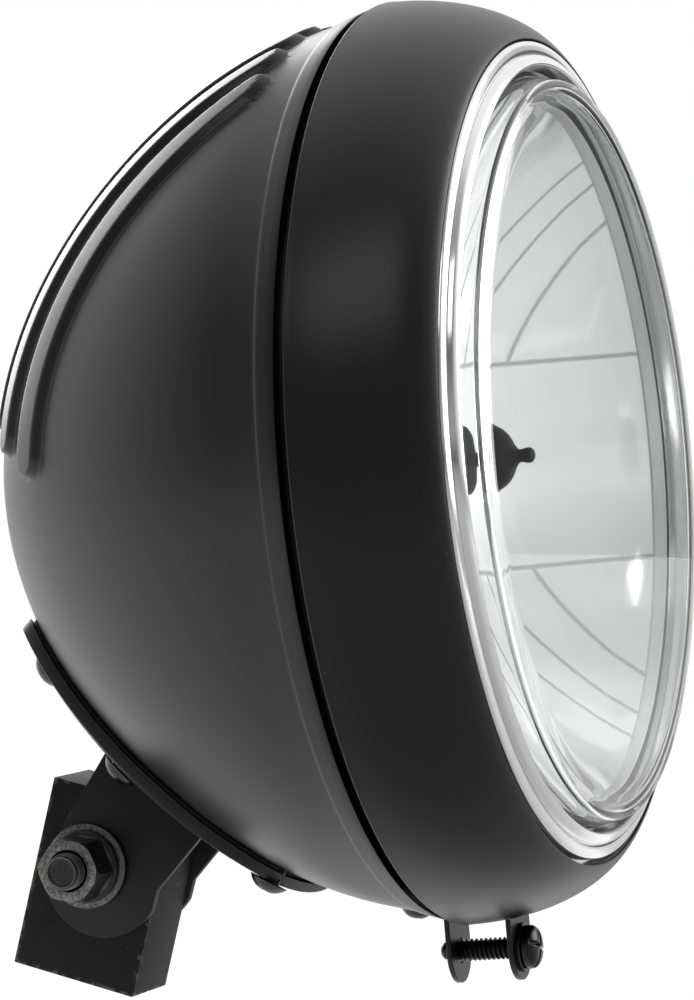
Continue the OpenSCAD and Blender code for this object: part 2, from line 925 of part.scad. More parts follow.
module pivot_nut() {
    color("#a3a5a8")
        at_pivot(-1, nut_x)
            rotate([0, 0, nut_turn])
                hex_prism(bolt_flats, nut_h, bolt_r + bolt_fit);
}

module small_washers() {
    color("#97999c")
        for (side = [-1, 1])
            at_pivot(side, washer_x + washer_t)
                washer(washer_r, washer_t, bolt_r + bolt_fit);
}

module large_washers() {
    color("#808285")
        for (side = [-1, 1])
            at_pivot(side, washer_x)
                washer(big_washer_r, washer_t, bolt_r + bolt_fit);
}

shell();
rim();
rim_screw();
rim_screw_washer();
bezel();
lens();
lens_seal();
reflector();
unit_clips();
bulb_glass();
bulb_cap();
bulb_base();
bulb_terminals();
bulb_spring();
bulb_boot();
cable_grommet();
body_screw();
body_nut();
saddle_pad();
saddle_bracket();
saddle_screws();
saddle_nuts();
mounting_block();
pivot_bolt();
pivot_nut();
small_washers();
large_washers();
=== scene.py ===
import math

import bmesh
import bpy
from mathutils import Matrix, Vector


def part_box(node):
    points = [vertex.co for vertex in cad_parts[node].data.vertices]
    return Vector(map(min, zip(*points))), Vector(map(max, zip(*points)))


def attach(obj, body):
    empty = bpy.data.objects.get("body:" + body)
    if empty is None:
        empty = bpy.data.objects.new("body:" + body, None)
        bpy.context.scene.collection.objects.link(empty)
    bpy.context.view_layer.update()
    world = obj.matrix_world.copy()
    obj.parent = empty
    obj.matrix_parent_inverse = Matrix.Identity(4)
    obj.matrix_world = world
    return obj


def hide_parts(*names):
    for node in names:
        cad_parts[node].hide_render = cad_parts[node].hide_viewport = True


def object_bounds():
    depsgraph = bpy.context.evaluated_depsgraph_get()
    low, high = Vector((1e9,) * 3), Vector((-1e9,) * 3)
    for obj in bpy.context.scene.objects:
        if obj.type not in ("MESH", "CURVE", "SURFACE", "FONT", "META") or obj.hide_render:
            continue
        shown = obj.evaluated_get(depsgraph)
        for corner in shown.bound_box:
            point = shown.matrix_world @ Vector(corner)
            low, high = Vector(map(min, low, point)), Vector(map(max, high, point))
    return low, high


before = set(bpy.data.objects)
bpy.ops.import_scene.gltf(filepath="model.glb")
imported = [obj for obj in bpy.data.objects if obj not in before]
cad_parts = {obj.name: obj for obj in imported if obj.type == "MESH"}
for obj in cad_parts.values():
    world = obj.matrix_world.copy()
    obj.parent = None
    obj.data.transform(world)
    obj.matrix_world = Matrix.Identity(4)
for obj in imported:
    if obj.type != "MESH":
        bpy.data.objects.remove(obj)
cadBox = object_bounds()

mm = 0.001
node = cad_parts
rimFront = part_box("rim")[0].y
lampAxis = Vector((0, rimFront, (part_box("bezel")[0].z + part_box("bezel")[1].z) / 2))
nutLow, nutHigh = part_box("pivot_nut")
pivot = Vector((0, (nutLow.y + nutHigh.y) / 2, (nutLow.z + nutHigh.z) / 2))


def soft(x):
    x = min(1.0, max(0.0, x))
    return x * x * (3 - 2 * x)


def spread(a, b, n):
    return [a + (b - a) * i / n for i in range(n + 1)]


def clear():
    if bpy.context.mode != "OBJECT":
        bpy.ops.object.mode_set(mode="OBJECT")
    bpy.ops.object.select_all(action="DESELECT")


def take(piece):
    clear()
    piece.select_set(True)
    bpy.context.view_layer.objects.active = piece


def add(primitive, name, **options):
    clear()
    primitive(**options)
    piece = bpy.context.object
    piece.name = name
    piece.data.name = name
    return piece


def edit(piece, mode="FACE"):
    take(piece)
    bpy.ops.object.mode_set(mode="EDIT")
    bpy.ops.mesh.select_mode(type=mode)
    bpy.ops.mesh.select_all(action="SELECT")


def chooseFaces(piece, test):
    bpy.ops.mesh.select_all(action="DESELECT")
    mesh = bmesh.from_edit_mesh(piece.data)
    for face in mesh.faces:
        face.select_set(test(face.calc_center_median(), face.normal))
    bmesh.update_edit_mesh(piece.data)


def settle(piece):    # place goes into the mesh, the object stays at the origin
    take(piece)
    bpy.ops.object.transform_apply(location=True, rotation=True, scale=True)


def closeUp(piece, gap=0.002 * mm):
    edit(piece, "VERT")
    bpy.ops.mesh.remove_doubles(threshold=gap)
    bpy.ops.mesh.normals_make_consistent(inside=False)
    bpy.ops.object.mode_set(mode="OBJECT")


def modify(piece, kind, **settings):
    take(piece)
    made = piece.modifiers.new(kind.title(), kind)
    for key, value in settings.items():
        setattr(made, key, value)
    bpy.ops.object.modifier_apply(modifier=made.name)


def bevelled(piece, width, segments=2, sharp=40):
    angle = math.radians(sharp)
    modify(piece, "BEVEL", width=width * mm, segments=segments, limit_method="ANGLE", angle_limit=angle)


def smooth(piece, degrees=35):
    take(piece)
    bpy.ops.object.shade_smooth_by_angle(angle=math.radians(degrees))


def joined(piece, *others):
    take(piece)
    for other in others:
        other.select_set(True)
    bpy.ops.object.join()
    return piece


def cutBy(piece, cutter, operation="DIFFERENCE"):
    modify(piece, "BOOLEAN", object=cutter, operation=operation, solver="EXACT")
    bpy.data.objects.remove(cutter)


def outline(name, points, centre):    # a chain of edges, drawn point by point in mm from the centre
    first = centre + Vector(points[0]) * mm
    piece = add(bpy.ops.mesh.primitive_plane_add, name, size=mm, location=first)
    edit(piece, "VERT")
    bpy.ops.mesh.merge(type="CENTER")
    for a, b in zip(points, points[1:]):
        step = (Vector(b) - Vector(a)) * mm
        bpy.ops.mesh.extrude_vertices_move(TRANSFORM_OT_translate={"value": step})
    bpy.ops.mesh.select_all(action="SELECT")
    return piece


def pressed(name, ring, step):    # a flat closed outline in mm, drawn out by one step
    piece = outline(name, [tuple(point) for point in ring], lampAxis)
    bpy.ops.mesh.edge_face_add()
    bpy.ops.mesh.extrude_region_move(TRANSFORM_OT_translate={"value": step * mm})
    bpy.ops.object.mode_set(mode="OBJECT")
    settle(piece)
    closeUp(piece)
    return piece


def besideAxis(name, profile, centre, axis):    # a closed profile of radius and distance along the axis
    along = Vector(axis)
    out = Vector((0, 0, 1)) if abs(along.z) < 0.5 else Vector((1, 0, 0))
    piece = outline(name, [tuple(out * r + along * d) for r, d in profile + profile[:1]], centre)
    bpy.ops.mesh.remove_doubles(threshold=0.001 * mm)
    return piece


def turned(name, profile, steps, centre=lampAxis, axis=(0, 1, 0)):
    piece = besideAxis(name, profile, centre, axis)
    bpy.ops.mesh.select_all(action="SELECT")
    bpy.ops.mesh.spin(steps=steps, angle=2 * math.pi, center=centre, axis=axis)
    bpy.ops.object.mode_set(mode="OBJECT")
    settle(piece)
    closeUp(piece)
    return piece


thread = {"sunk": 0.15, "rise": 0.42, "crest": 0.5, "fall": 0.92}    # sunk in mm, the rest in shares of the pitch


def threadCoil(name, centre, axis, radius, depth, pitch, length, steps=28):    # closed winding of one tooth
    root, fall = radius - depth, pitch * thread["fall"]
    tooth = [
        (root - thread["sunk"], 0), (root, 0), (radius, pitch * thread["rise"]),
        (radius, pitch * thread["crest"]), (root, fall), (root - thread["sunk"], fall)]
    piece = besideAxis(name, tooth, centre, axis)
    bpy.ops.object.mode_set(mode="OBJECT")
    bpy.context.scene.cursor.location = centre
    take(piece)
    bpy.ops.object.origin_set(type="ORIGIN_CURSOR")
    letter = "XYZ"[[abs(v) > 0.5 for v in axis].index(True)]
    modify(
        piece, "SCREW", axis=letter, angle=2 * math.pi, screw_offset=pitch * mm,
        iterations=max(1, int(length / pitch)), steps=steps, render_steps=steps, use_merge_vertices=False)
    settle(piece)
    edit(piece, "VERT")
    bpy.ops.mesh.remove_doubles(threshold=0.002 * mm)
    bpy.ops.mesh.select_all(action="SELECT")
    bpy.ops.mesh.fill_holes(sides=12)
    bpy.ops.mesh.select_all(action="SELECT")
    bpy.ops.mesh.normals_make_consistent(inside=False)
    bpy.ops.object.mode_set(mode="OBJECT")
    return piece


def fromNode(nodeName, name, bevel, sharp=32):    # a merged, edge-rounded copy of a CAD node
    take(node[nodeName])
    bpy.ops.object.duplicate()
    piece = bpy.context.object
    piece.parent = None
    for key in list(piece.keys()):
        del piece[key]
    piece.name = name
    piece.data.name = name
    edit(piece, "VERT")
    bpy.ops.mesh.remove_doubles(threshold=0.004 * mm)
    bpy.ops.mesh.normals_make_consistent(inside=False)
    bpy.ops.mesh.dissolve_limited(angle_limit=math.radians(0.6))
    bpy.ops.object.mode_set(mode="OBJECT")
    bevelled(piece, bevel, 3, sharp)
    smooth(piece, sharp)
    return piece


def place(piece, body, finish, *stands, slot=None):
    piece.data.materials.clear()
    piece.data.materials.append(finish)
    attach(piece, body)
    if stands:
        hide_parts(*stands)


class Wire:
    def __init__(self, tree, socket=None):
        self.tree = tree
        self.socket = socket

    def node(self, kind, settings=None, values=None, out=0):
        made = self.tree.nodes.new("ShaderNode" + kind)
        for key, value in (settings or {}).items():
            if key == "stops":
                ramp = made.color_ramp.elements
                while len(ramp) < len(value):
                    ramp.new(0.5)
                for stop, (at, shade) in zip(ramp, value):
                    stop.position = at
                    stop.color = (shade, shade, shade, 1)
            else:
                setattr(made, key, value)
        for key, value in (values or {}).items():
            if isinstance(value, Wire):
                self.tree.links.new(value.socket, made.inputs[key])
            else:
                made.inputs[key].default_value = value
        return Wire(self.tree, made.outputs[out])

    def maths(self, operation, a, b=0.0):
        return self.node("Math", {"operation": operation}, {0: a, 1: b})

    def size(self):
        return self.maths("ABSOLUTE", self)

    def vector(self, operation, other, out="Vector"):
        return self.node("VectorMath", {"operation": operation}, {0: self, 1: other}, out)

    def dot(self, direction):
        return self.vector("DOT_PRODUCT", direction, "Value")

    def __add__(self, other):
        return self.maths("ADD", self, other)

    def __radd__(self, other):
        return self.maths("ADD", other, self)

    def __sub__(self, other):
        return self.maths("SUBTRACT", self, other)

    def __rsub__(self, other):
        return self.maths("SUBTRACT", other, self)

    def __mul__(self, other):
        return self.maths("MULTIPLY", self, other)

    def __rmul__(self, other):
        return self.maths("MULTIPLY", other, self)

    def noise(self, scale, detail=2.0, rough=0.5):    # self is the place that the noise is read at
        return self.node("TexNoise", {}, {"Vector": self, "Scale": scale, "Detail": detail, "Roughness": rough})

    def ramp(self, *stops):
        return self.node("ValToRGB", {"stops": stops}, {"Fac": self})

    def blend(self, low, high):    # self is the share of the second colour
        return self.node("Mix", {"data_type": "RGBA"}, {0: self, 6: low, 7: high}, out=2)

    def bump(self, depth, strength=1.0):
        return self.node("Bump", {}, {"Height": self, "Distance": depth, "Strength": strength}, out="Normal")


def finishOf(name, fixed, varied=None):
    made = bpy.data.materials.new(name)
    made.use_nodes = True
    tree = made.node_tree
    shader = tree.nodes["Principled BSDF"]
    for key, value in fixed.items():
        shader.inputs[key].default_value = value
    if varied:
        spot = Wire(tree).node("TexCoord", out="Object")
        for key, wire in varied(spot).items():
            tree.links.new(wire.socket, shader.inputs[key])
    return made


def grey(level, warm=0.0):
    return (level * (1 + warm), level, level * (1 - warm), 1)


def edgeMask(spot, reach, low=0.02, high=0.22):    # 1 on convex and concave edges, 0 on flats
    rounded = spot.node("Bevel", {"samples": 6}, {"Radius": reach}, out="Normal")
    same = rounded.dot(spot.node("NewGeometry", out="Normal"))
    return (1 - same).ramp((low, 0.0), (high, 1.0))


print("finishes")

paint = {"grainScale": 2200, "grainDepth": 0.03 * mm, "roughness": 0.34, "colour": 0.0024, "speckScale": 620}


def paintLooks(spot):
    grain = spot.noise(paint["grainScale"], 2.0, 0.6)
    haze = spot.noise(22, 3.0, 0.55)
    specks = spot.noise(paint["speckScale"], 1.0).ramp((0.82, 0.0), (0.85, 1.0))
    shade = haze.blend(grey(paint["colour"] * 0.88), grey(paint["colour"] * 1.15))
    return {
        "Base Color": specks.blend(shade, grey(0.04)),
        "Roughness": haze * 0.07 + grain * 0.05 + (paint["roughness"] - 0.06),
        "Normal": grain.bump(paint["grainDepth"], 0.7),
    }


satinPaint = finishOf("satinPaint", {"Specular IOR Level": 0.45}, paintLooks)

coat = {"colour": 0.0075, "roughness": 0.5, "worn": 0.16}


def plateLooks(spot):
    grain = spot.noise(2100, 3.0, 0.6)
    haze = spot.noise(60, 3.0)
    worn = edgeMask(spot, 0.5 * mm) * spot.noise(240, 3.0).ramp((0.40, 0.0), (0.60, 1.0))
    shade = haze.blend(grey(coat["colour"] * 0.8), grey(coat["colour"] * 1.2))
    return {
        "Base Color": (worn * 0.55).blend(shade, grey(coat["worn"])),
        "Roughness": grain * 0.08 + haze * 0.08 + (coat["roughness"] - 0.08),
        "Normal": grain.bump(0.012 * mm, 0.8),
    }


blackPlate = finishOf("blackPlate", {"Specular IOR Level": 0.35}, plateLooks)


def blockLooks(spot):
    grain = spot.noise(1500, 4.0, 0.65)
    patch = spot.noise(90, 4.0, 0.6)
    chips = spot.noise(430, 3.0, 0.65).ramp((0.50, 0.0), (0.56, 1.0))
    edge = edgeMask(spot, 1.7 * mm, 0.004, 0.06) * chips
    scuffs = patch.ramp((0.56, 0.0), (0.66, 1.0)) * spot.noise(900, 3.0, 0.7).ramp((0.55, 0.0), (0.66, 1.0))
    worn = spot.maths("MINIMUM", edge * 0.9 + scuffs * 0.45, 1.0)
    shade = patch.blend(grey(0.0065), grey(0.013, 0.03))
    return {
        "Base Color": worn.blend(shade, grey(0.20, 0.03)),
        "Metallic": worn * 0.6,
        "Roughness": grain * 0.12 + patch * 0.1 + 0.46,
        "Normal": (grain + patch * 0.8 - worn * 0.6).bump(0.03 * mm, 0.7),
    }


blackBlock = finishOf("blackBlock", {"Specular IOR Level": 0.22}, blockLooks)

wear = ((0.30, 0.08), (0.335, 1.0), (0.66, 1.0), (0.72, 0.12), (0.79, 0.12), (0.83, 0.75))    # radius in cm, bare share


def hardwareLooks(spot):
    grain = spot.noise(1900, 4.0, 0.7)
    patch = spot.noise(260, 3.0, 0.6)
    ends = spot.node("NewGeometry", out="Normal").dot((1, 0, 0))
    flat = spot.vector("SUBTRACT", tuple(pivot)).vector("MULTIPLY", (0, 100, 100))
    zone = spot.node("VectorMath", {"operation": "LENGTH"}, {0: flat}, out="Value").ramp(*wear)
    faced = ends.size().ramp((0.80, 0.0), (0.96, 1.0)) * grain.ramp((0.36, 0.15), (0.62, 0.85)) * zone
    rub = spot.maths("MINIMUM", edgeMask(spot, 0.4 * mm) * (patch * 0.9 + 0.4) + faced, 1.0)
    return {
        "Base Color": rub.blend(grey(0.012), grey(0.38, 0.015)),
        "Metallic": rub * 0.5 + 0.3,
        "Roughness": patch * 0.2 + grain * 0.14 + 0.28,
        "Normal": (grain + patch * 0.5).bump(0.03 * mm, 0.9),
    }


wornSteel = finishOf("wornSteel", {"Specular IOR Level": 0.5}, hardwareLooks)


def screwLooks(spot):
    grain = spot.noise(1700, 3.0, 0.6)
    patch = spot.noise(380, 3.0)
    rub = edgeMask(spot, 0.3 * mm) * patch.ramp((0.35, 0.0), (0.65, 1.0))
    return {
        "Base Color": rub.blend(grey(0.008), grey(0.16)),
        "Metallic": rub * 0.5 + 0.25,
        "Roughness": patch * 0.12 + grain * 0.06 + 0.14,
        "Normal": grain.bump(0.012 * mm, 0.6),
    }


blackScrew = finishOf("blackScrew", {"Specular IOR Level": 0.5}, screwLooks)


def chromeLooks(spot):
    smear = spot.noise(45, 4.0, 0.6)
    return {
        "Base Color": smear.blend(grey(0.86), grey(0.93)),
        "Roughness": smear.ramp((0.35, 0.10), (0.7, 0.17)),
        "Normal": spot.noise(160, 2.0).bump(0.004 * mm, 0.5),
    }


brightChrome = finishOf("brightChrome", {"Metallic": 0.86}, chromeLooks)

facets = {"up": 21.5, "down": 25, "sides": {42: 0.5, 48.5: 0.5, 57: 0.6}}    # mm from the lamp's axis to each crease


def mirrorLooks(spot):
    haze = spot.noise(38, 3.0)
    lower = (facets["down"] - facets["up"]) / 2
    half = (facets["down"] + facets["up"]) / 2
    across = spot.dot((1000, 0, 0)).size()
    high = (spot.dot((0, 0, 1000)) - (lampAxis.z / mm - lower)).size()
    flange = (spot.dot((0, 100, 0)) - (lampAxis.y * 100 + 0.4)).ramp((0.07, 1.0), (0.13, 0.0))
    # painted shade: dark grey lines painted along the creases between the reflector's fields, on top of the real
    # creases in the shape
    paintedCreaseShade = (high - half).size().ramp((0.2, 1.0), (0.75, 0.0))
    for at in facets["sides"]:
        paintedSideCreaseShade = (across - at).size().ramp((0.15, 1.0), (0.6, 0.0))
        paintedCreaseShade = spot.maths("MAXIMUM", paintedCreaseShade, paintedSideCreaseShade * (high * 0.01).ramp((0.22, 0.0), (0.24, 1.0)))
    shade = haze.blend(grey(0.90), grey(0.95))
    return {
        # the painted crease shade darkens the mirror's colour here; the flange is a matte pale grey
        "Base Color": flange.blend((paintedCreaseShade * 0.75).blend(shade, grey(0.34)), grey(0.95)),
        "Roughness": haze * 0.05 + flange * 0.32 + 0.05,
        "Normal": spot.noise(110, 2.0).bump(0.01 * mm, 0.35),
    }


mirror = finishOf("mirror", {"Metallic": 1.0}, mirrorLooks)


def glassLooks(spot):
    return {"Normal": spot.noise(26, 2.0).bump(0.03 * mm, 0.25)}


clearGlass = finishOf("clearGlass", {
    "Base Color": (0.985, 0.992, 0.99, 1), "Roughness": 0.012, "IOR": 1.5, "Specular IOR Level": 0.2,
    "Transmission Weight": 1.0}, glassLooks)
bulbGlass = finishOf("bulbGlass", {
    "Base Color": (0.97, 0.985, 1.0, 1), "Roughness": 0.01, "IOR": 1.46, "Transmission Weight": 1.0}, glassLooks)


def capLooks(spot):
    speck = spot.noise(900, 3.0, 0.6)
    return {
        "Base Color": speck.blend(grey(0.006), grey(0.016)),
        "Roughness": speck * 0.15 + 0.5,
        "Normal": speck.bump(0.02 * mm, 0.6),
    }


capPaint = finishOf("capPaint", {"Specular IOR Level": 0.15}, capLooks)


def rubberLooks(spot):
    grain = spot.noise(1300, 3.0, 0.6)
    bloom = spot.noise(70, 3.0)
    return {
        "Base Color": bloom.blend(grey(0.008), grey(0.017)),
        "Roughness": grain * 0.12 + bloom * 0.1 + 0.6,
        "Normal": grain.bump(0.02 * mm, 0.7),
    }


rubber = finishOf("rubber", {"Specular IOR Level": 0.35}, rubberLooks)


def metalLooks(low, high, rough):
    def looks(spot):
        grain = spot.noise(800, 4.0, 0.6)
        stain = spot.noise(120, 3.0)
        return {
            "Base Color": stain.blend(low, high),
            "Roughness": stain * 0.15 + grain * 0.1 + rough,
            "Normal": grain.bump(0.01 * mm, 0.6),
        }
    return looks


brightMetal = finishOf("brightMetal", {"Metallic": 1.0}, metalLooks(grey(0.50), grey(0.64), 0.18))
zincSteel = finishOf("zincSteel", {"Metallic": 1.0}, metalLooks((0.36, 0.35, 0.31, 1), (0.55, 0.55, 0.52, 1), 0.28))
brass = finishOf("brass", {"Metallic": 1.0}, metalLooks((0.62, 0.47, 0.20, 1), (0.78, 0.62, 0.30, 1), 0.24))


print("bowl")

bowl = {
    "radius": 96.6, "start": 30.3, "length": 95, "end": 125.2, "wall": 1.2, "wallFrom": 0.062, "hole": 6.5,
    "edgeRadius": 98.5, "edge": 30.7, "flareEnd": 43.5, "crease": 35.3, "creaseHeight": 0.2,
    "flareRows": (33, 34.3, 35, 35.15, 35.3, 35.45, 35.6, 36.2, 37.5, 39, 41),
    "neckRadius": 95.3, "neckStart": 24.5, "neckTop": 34.5, "steps": 360, "rings": 50,
    "ribCount": 9, "ribPitch": 12, "ribSpread": 11, "ribSettle": 15, "ribHeight": 1.8, "ribFoot": 4.8,
    "ribCrest": 3.1, "ribFront": 43.2, "ribLow": 3.0, "ribRise": 22,
    "tabFront": 34.0, "tabTop": 97.0,
}


def bowlSwell(s):
    return math.sqrt(1 + 0.98 * s - 0.742 * s * s + 0.211 * s ** 3)


def bowlRadius(y):
    s = (y - bowl["start"]) / bowl["length"]
    t = 1 - math.sqrt(max(0.0, 1 - s))
    return bowl["radius"] * (1 - t) * bowlSwell(s)


def bowlPoint(t):
    y = bowl["start"] + bowl["length"] * (1 - (1 - t) ** 2)
    return Vector((bowlRadius(y), y))


def bowlRun(t):    # a short step along the outline, front to rear
    return bowlPoint(t + 0.005) - bowlPoint(t - 0.005)


def bowlOut(t):
    run = bowlRun(t)
    return Vector((run.y, -run.x)).normalized()


def bowlOff(t, h):
    return tuple(bowlPoint(t) + bowlOut(t) * h)


def flareRadius(y):    # the bowl widens softly towards its front edge, with one faint crease
    reach = bowl["flareEnd"] - bowl["edge"]
    rise = bowl["edgeRadius"] - bowlRadius(bowl["edge"])
    crease = bowl["creaseHeight"] * (1 - soft((y - bowl["crease"]) / 0.6 + 0.5))
    return bowlRadius(y) + rise * (max(0.0, bowl["flareEnd"] - y) / reach) ** 2 + crease


def ribLift(spot):    # height of the ribs at one place, from 0 to 1
    lift = 0.0
    half = (bowl["ribCount"] - 1) // 2
    settled = 1 - math.exp(-max(0.0, spot.y - bowl["ribFront"]) / bowl["ribSettle"])
    for number in range(-half, half + 1):
        side = number / half
        middle = side * (bowl["ribPitch"] * half + bowl["ribSpread"] * settled)
        across = abs(spot.x - middle)
        low = bowl["ribLow"] + bowl["ribRise"] * (1 - abs(side))
        past = min(spot.y - bowl["ribFront"] - bowl["ribFoot"], spot.z - low - bowl["ribFoot"])
        reach = math.hypot(across, min(0.0, past))
        if reach < bowl["ribFoot"]:
            lift = max(lift, soft((bowl["ribFoot"] - reach) / (bowl["ribFoot"] - bowl["ribCrest"])))
    return lift


def nearFlank(spot):
    lifts = [ribLift(spot + Vector((x, 0, z))) for x, z in ((0, 0), (1.5, 0), (-1.5, 0), (0, 2), (0, -2))]
    return max(lifts) > 0 and min(lifts) < 1


def makeBowl():
    y0, y1 = bowl["edge"], bowl["flareEnd"]
    first = 1 - math.sqrt(1 - (y1 - bowl["start"]) / bowl["length"])
    last = 1 - bowl["hole"] / (bowl["radius"] * bowlSwell(1))
    outer = [bowlOff(t, 0) for t in spread(first, last, bowl["rings"])][1:]
    inner = [bowlOff(t, -bowl["wall"]) for t in spread(last, 1 - math.sqrt(1 - bowl["wallFrom"]), 20)]
    neck, wall = bowl["neckRadius"], bowl["wall"]
    edge = flareRadius(y0)
    flare = [(flareRadius(y), y) for y in (y0 + 0.5, *bowl["flareRows"], y1)]
    front = [
        (neck - wall, bowl["neckTop"]), (neck - wall, bowl["neckStart"]), (neck, bowl["neckStart"]), (neck, y0),
        (edge - 0.5, y0), (edge - 0.16, y0 + 0.12)]
    piece = turned("bowl", front + flare + outer + inner, bowl["steps"])
    edit(piece)

    def ribbed(c, n):    # outer faces where the ribs' flanks come
        spot = (c - lampAxis) / mm
        return spot.z > 1 and spot.y > 41 and n.dot(Vector((spot.x, spot.y - 40, spot.z))) > 0 and nearFlank(spot)

    chooseFaces(piece, ribbed)
    bpy.ops.mesh.subdivide(number_cuts=3, quadcorner="INNERVERT")
    bpy.ops.object.mode_set(mode="OBJECT")
    lifted = piece.vertex_groups.new(name="ribs")
    for vertex in piece.data.vertices:
        spot = (vertex.co - lampAxis) / mm
        onWall = math.hypot(spot.x, spot.z) > bowlRadius(min(spot.y, bowl["end"])) - 0.6
        if spot.z > 1 and spot.y > 42 and onWall:
            lift = ribLift(spot)
            if lift > 0:
                lifted.add([vertex.index], lift, "REPLACE")
    modify(piece, "DISPLACE", strength=bowl["ribHeight"] * mm, mid_level=0.0, direction="NORMAL", vertex_group="ribs")
    smooth(piece, 45)
    place(piece, "lamp", satinPaint, "shell", slot="black_paint")


tab = {"width": 14, "thick": 1.2, "drop": 105.4, "hole": 2.75, "steps": 26}


def makeTab(name, y, top, stands):
    half = tab["width"] / 2
    arc = [(half * math.cos(a), -tab["drop"] - half * math.sin(a)) for a in spread(0, math.pi, tab["steps"])]
    points = [(x, y, z) for x, z in [(half, -top)] + arc + [(-half, -top)]]
    piece = pressed(name, points, Vector((0, tab["thick"], 0)))
    drill = add(
        bpy.ops.mesh.primitive_cylinder_add, "drill", vertices=36, radius=tab["hole"] * mm, depth=6 * mm,
        location=lampAxis + Vector((0, y, -tab["drop"])) * mm, rotation=(math.pi / 2, 0, 0))
    settle(drill)
    cutBy(piece, drill)
    bevelled(piece, 0.22)
    smooth(piece, 40)
    modify(piece, "WEIGHTED_NORMAL", keep_sharp=True)
    place(piece, "lamp", satinPaint, stands, slot="black_paint")


makeBowl()
makeTab("bowlTab", bowl["tabFront"], bowl["tabTop"], "shell")

print("rim")

rim = {
    "mouth": 88, "roll": 11.5, "width": 30.3, "end": 28.5, "power": 1.5625, "wall": 1.2, "steps": 300, "rings": 46,
    "windowWidth": 22, "windowStart": 16.2, "windowLength": 4, "windowDepth": 18, "windowDrop": 94,
    "tabFront": 20.2, "tabTop": 98.0,
}


def rimPoint(q):
    return Vector((rim["mouth"] + rim["roll"] * math.sin(math.pi / 2 * q), rim["width"] * q ** rim["power"]))


def rimOff(q, h):
    run = rimPoint(q + 0.004) - rimPoint(max(0.0, q - 0.004))
    out = Vector((run.y, -run.x)).normalized()
    return tuple(rimPoint(q) + out * h)


def makeRim():
    wall, end = rim["wall"], rim["end"]
    last = ((end - 0.8) / rim["width"]) ** (1 / rim["power"])
    outer = [rimOff(q, 0) for q in spread(0.03, last, rim["rings"])]
    inner = [rimOff(q, -wall) for q in spread(last, 0.03, 20)]
    lip = [
        (99.5, end - 0.5), (99.5, end - 0.3), (99.38, end - 0.12), (99.1, end), (98.6, end),
        (98.38, end - 0.12), (98.3, end - 0.4)]
    mouth = [(88.4, 0.9), (88.34, 0.5), (88.38, 0.24)]
    piece = turned("rimBody", outer + lip + inner + mouth, rim["steps"])
    middle = Vector((0, rim["windowStart"] + rim["windowLength"] / 2, -rim["windowDrop"]))
    window = add(
        bpy.ops.mesh.primitive_cube_add, "window", size=mm, location=lampAxis + middle * mm,
        scale=(rim["windowWidth"], rim["windowLength"], rim["windowDepth"]))
    settle(window)
    bevelled(window, 1.2, 4)
    cutBy(piece, window)
    smooth(piece, 40)
    place(piece, "lamp", satinPaint, "rim", slot="black_paint")


makeRim()
makeTab("rimTab", rim["tabFront"], rim["tabTop"], "rim")

print("rim screw")

rimScrew = {
    "drop": 105.4, "head": 19.1, "headRadius": 4.7, "headHeight": 3.1, "radius": 2.45, "tip": 38.2, "pitch": 1.06,
    "depth": 0.6, "slot": (9.8, 2.9, 1.0), "turn": 0.35,
}


def makeRimScrew():
    centre = lampAxis + Vector((0, 0, -rimScrew["drop"])) * mm
    r, h, y = rimScrew["headRadius"], rimScrew["headHeight"], rimScrew["head"]
    dome = [
        (r * math.sin(a) ** 0.75, y - h * (0.35 + 0.65 * math.cos(a))) for a in spread(0.12, math.pi / 2, 12)]
    head = turned("rimScrewHead", [(0, y - h)] + dome + [(r, y - 0.12), (r - 0.12, y), (0, y)], 48, centre)
    for turn in (rimScrew["turn"], rimScrew["turn"] + math.pi / 2):
        slot = add(
            bpy.ops.mesh.primitive_cube_add, "slot", size=mm, location=centre + Vector((0, y - h, 0)) * mm,
            scale=rimScrew["slot"], rotation=(0, turn, 0))
        settle(slot)
        cutBy(head, slot)
    bevelled(head, 0.12)
    core = rimScrew["radius"] - rimScrew["depth"]
    tip = rimScrew["tip"]
    bar = [(0, y - 0.4), (core + 0.02, y - 0.4), (core + 0.02, tip - 0.6), (core - 0.5, tip), (0, tip)]
    shank = turned("rimScrewShank", bar, 32, centre)
    coil = threadCoil(
        "rimScrewThread", centre + Vector((0, y + 0.2, 0)) * mm, (0, 1, 0), rimScrew["radius"],
        rimScrew["depth"], rimScrew["pitch"], tip - y - 1.4)
    piece = joined(head, shank, coil)
    piece.name = "rimScrew"
    smooth(piece, 38)
    place(piece, "lamp", blackScrew, "rim_screw", slot="black_steel")


makeRimScrew()

print("light unit")

ring = {"outer": 87.5, "inner": 81.9, "out": 2.4, "back": 4.1, "flange": 89.6, "rise": 0.45, "steps": 288}


def makeRing():
    r, n, out = ring["outer"], ring["inner"], -ring["out"]
    front = [
        (r, 3.1), (r, 0.35), (r - 0.08, 0.1), (r - 0.25, -0.12), (r - 0.5, -0.26), (r - 1.2, -0.42),
        (r - 2.0, -0.58), (r - 2.7, -0.72)]
    step = [
        (r - 2.84, -0.62), (r - 2.96, -0.62), (r - 3.06, -0.9), (r - 3.2, -1.4), (r - 3.5, -1.85),
        (n + 0.9, out + 0.2), (n + 0.6, out + 0.04), (n + 0.4, out), (n + 0.2, out + 0.06),
        (n + 0.04, out + 0.25), (n, out + 0.6)]
    back = [(n, ring["back"]), (ring["flange"], ring["back"]), (ring["flange"], 3.1)]
    seat = lampAxis + Vector((0, 0, ring["rise"])) * mm
    piece = turned("chromeRing", front + step + back, ring["steps"], seat)
    smooth(piece, 50)
    place(piece, "lamp", brightChrome, "bezel", slot="bright_chrome")


lens = {
    "radius": 79.2, "foot": 80.5, "flange": 81.4, "front": 5.9, "bulge": 2.6, "thick": 1.9, "edge": 1.6,
    "steps": 288,
}


